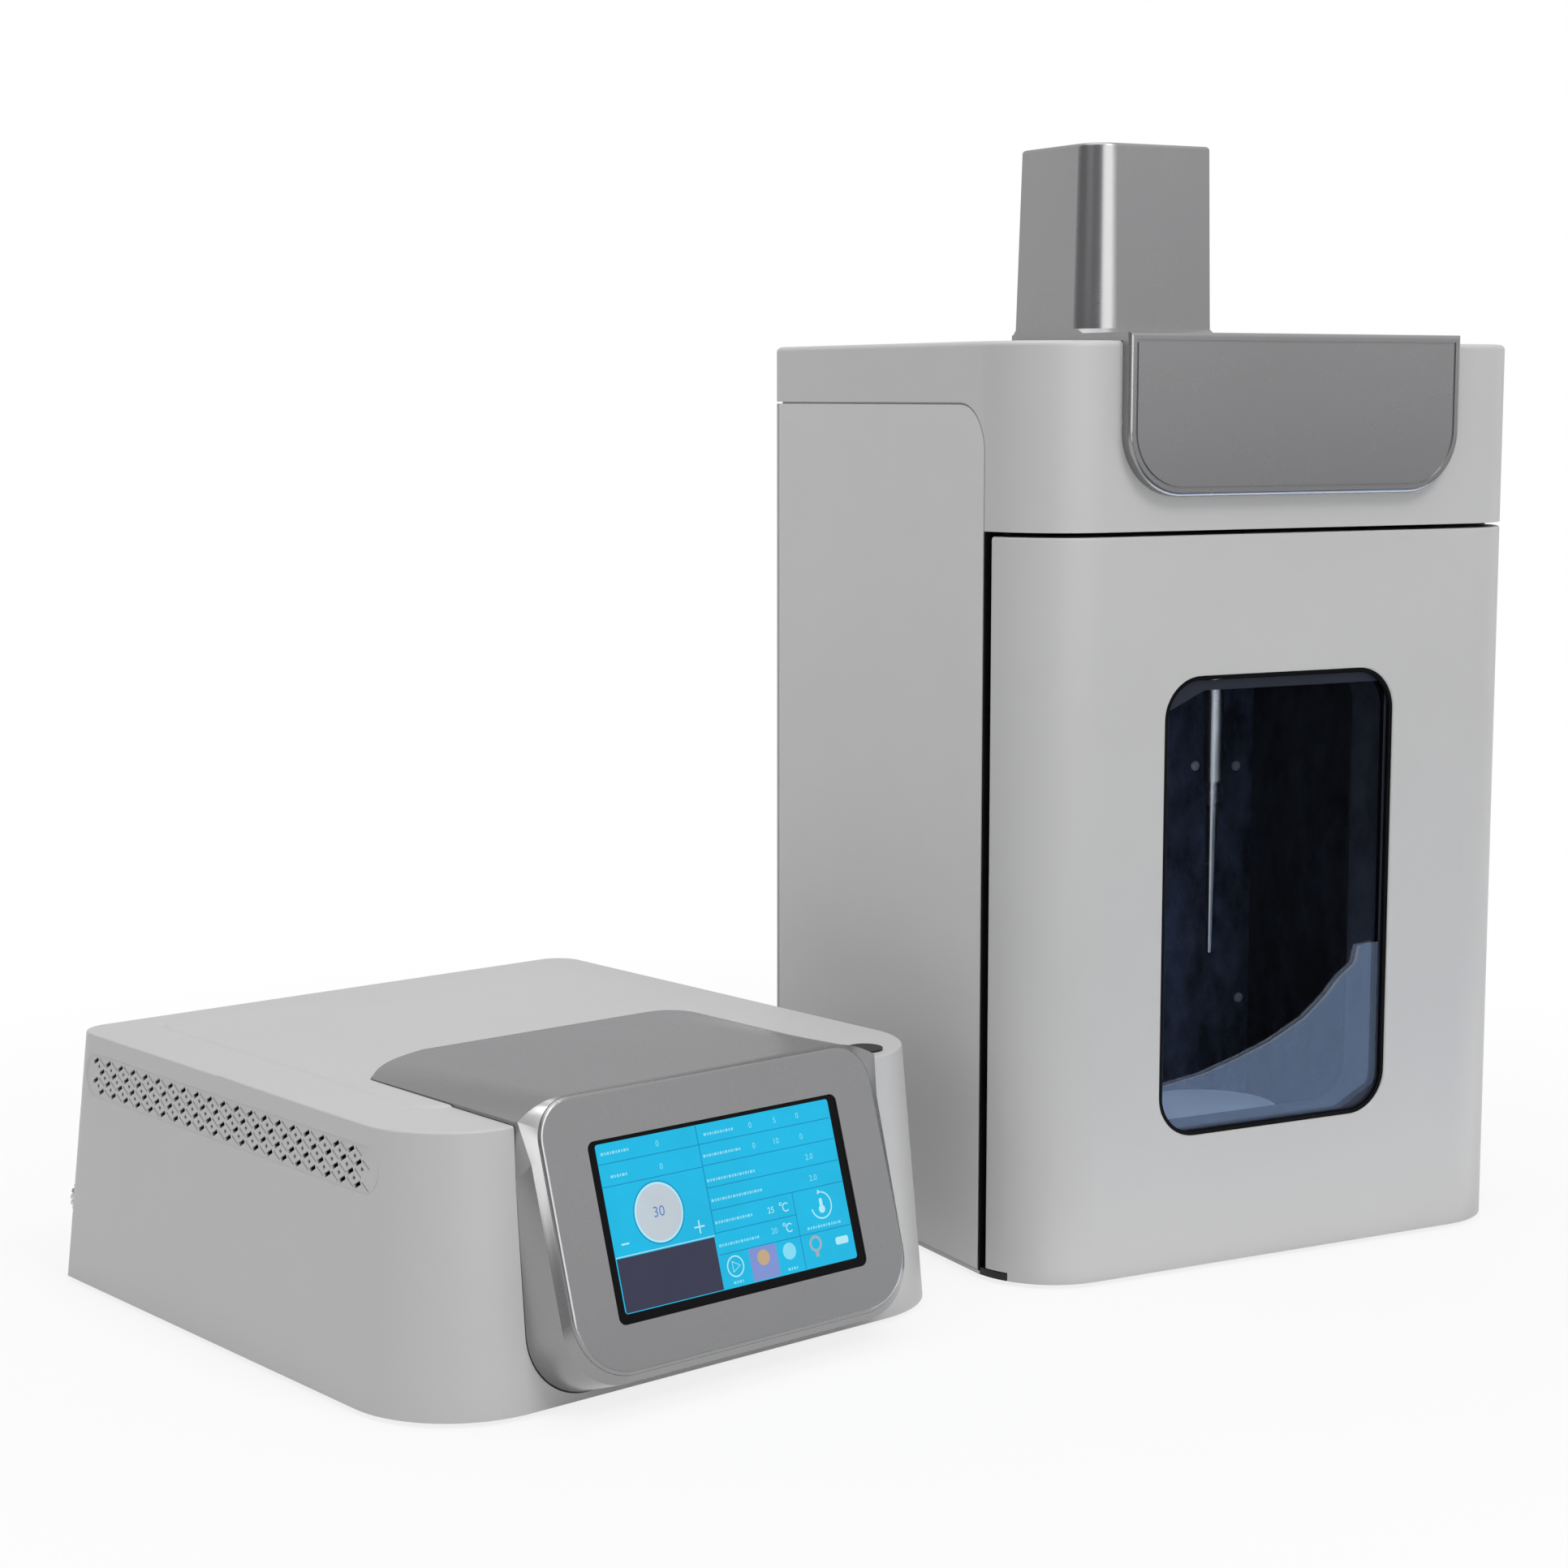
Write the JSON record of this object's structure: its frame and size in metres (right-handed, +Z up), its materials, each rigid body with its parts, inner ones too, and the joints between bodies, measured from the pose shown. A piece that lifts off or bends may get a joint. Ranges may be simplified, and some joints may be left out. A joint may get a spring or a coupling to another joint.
{
  "type": "ultrasonic homogenizer",
  "caption": "Bench ultrasonic homogenizer: touch-screen generator beside a sound-proof enclosure with a windowed door, probe, sample platform and top riser.",
  "frame": {"origin": "centre of the pair's footprint box, on the bench surface", "axes": "+X to the right along the enclosure's front, +Y from its door to its back panel, +Z up"},
  "size_m": [0.7898, 0.4282, 0.618],
  "materials": {
    "housing": "satin fine-textured light warm grey lacquer",
    "side_paint": "satin powder coat, warm grey",
    "silver_paint": "satin metallic silver-grey lacquer",
    "foam": "dimpled dark blue-grey acoustic foam",
    "liner_metal": "dull sheet",
    "black_rubber": "matte",
    "dark_glass": "tinted, glossy",
    "black_plastic": "fine-textured",
    "titanium": "turned titanium",
    "steel": "satin stainless",
    "screen_glass": "glossy touch glass",
    "display": "lit display",
    "circuit": "solder mask",
    "zinc_case": "zinc-plated sheet",
    "winding": "taped winding",
    "heat_sink": "extruded"
  },
  "bodies": {
    "root": {"back_foam": "foam", "board_standoffs": "steel", "button_ring": "black_plastic", "cable_grommet": "black_rubber", "ceiling_foam": "foam", "chamber_frame": "side_paint", "chamber_liner": "liner_metal", "converter": "black_plastic", "converter_collar": "black_plastic", "display_bezel": "silver_paint", "display_board": "circuit", "door_seal": "black_rubber", "driver_board": "circuit", "enclosure_back_panel": "side_paint", "enclosure_base": "side_paint", "enclosure_feet": "black_rubber", "enclosure_hood": "housing", "fan_frame": "black_plastic", "fan_guard": "steel", "floor_foam": "foam", "front_hood": "silver_paint", "front_plate": "silver_paint", "generator_base": "side_paint", "generator_cover": "housing", "generator_feet": "black_rubber", "generator_rear_panel": "side_paint", "heat_sink": "heat_sink", "hinge_pins": "liner_metal", "horn": "titanium", "lcd_panel": "display", "left_side_panel": "side_paint", "left_vent": "housing", "lower_hinge_leaf": "side_paint", "magnet_catch": "liner_metal", "output_socket": "steel", "output_transformer": "winding", "post_socket": "steel", "power_inlet": "black_plastic", "power_supply": "zinc_case", "probe_tip": "titanium", "right_side_panel": "side_paint", "right_vent": "housing", "rocker_frame": "black_plastic", "side_foam": "foam", "top_cover": "silver_paint", "touch_glass": "screen_glass", "upper_hinge_bracket": "side_paint"},
    "door": {"door_shell": "housing", "door_core": "foam", "door_inner_sheet": "liner_metal", "door_magnet": "steel", "window_gasket": "black_rubber", "window_pane": "dark_glass"},
    "platform": {"sample_platform": "steel"},
    "clamp_knob": {"clamp_knob": "black_plastic"},
    "power_button": {"power_button": "black_plastic"},
    "fuse_drawer": {"fuse_drawer": "black_plastic"},
    "rocker": {"rocker": "black_plastic"},
    "fan_rotor": {"fan_rotor": "black_plastic"}
  },
  "joints": [
    {"name": "door_swing", "type": "hinge", "parent": "root", "child": "door", "pos_m": [0.0579, -0.10636, 0.2], "axis": [0, 0, -1], "range_deg": [0, 110]},
    {"name": "platform_lift", "type": "slide", "parent": "root", "child": "platform", "axis": [0, 0, 1], "range_m": [0, 0.03]},
    {"name": "clamp_knob_turn", "type": "hinge", "parent": "root", "child": "clamp_knob", "pos_m": [0.2299, -0.07436, 0.049], "axis": [0, -1, 0], "range_deg": [0, 360]},
    {"name": "power_button_press", "type": "slide", "parent": "root", "child": "power_button", "axis": [0, 0, -1], "range_m": [0, 0.0015], "stiffness_N_per_m": 1500},
    {"name": "rocker_switch", "type": "hinge", "parent": "root", "child": "rocker", "pos_m": [-0.2721, 0.16561, 0.042], "axis": [0.9761, 0.2173, 0], "range_deg": [0, 20]},
    {"name": "fuse_drawer_pull", "type": "slide", "parent": "root", "child": "fuse_drawer", "axis": [-0.2173, 0.9761, 0], "range_m": [0, 0.012]},
    {"name": "fan_spin", "type": "hinge", "parent": "root", "child": "fan_rotor", "pos_m": [-0.15334, 0.17976, 0.066], "axis": [-0.2173, 0.9761, 0], "continuous": true}
  ]
}
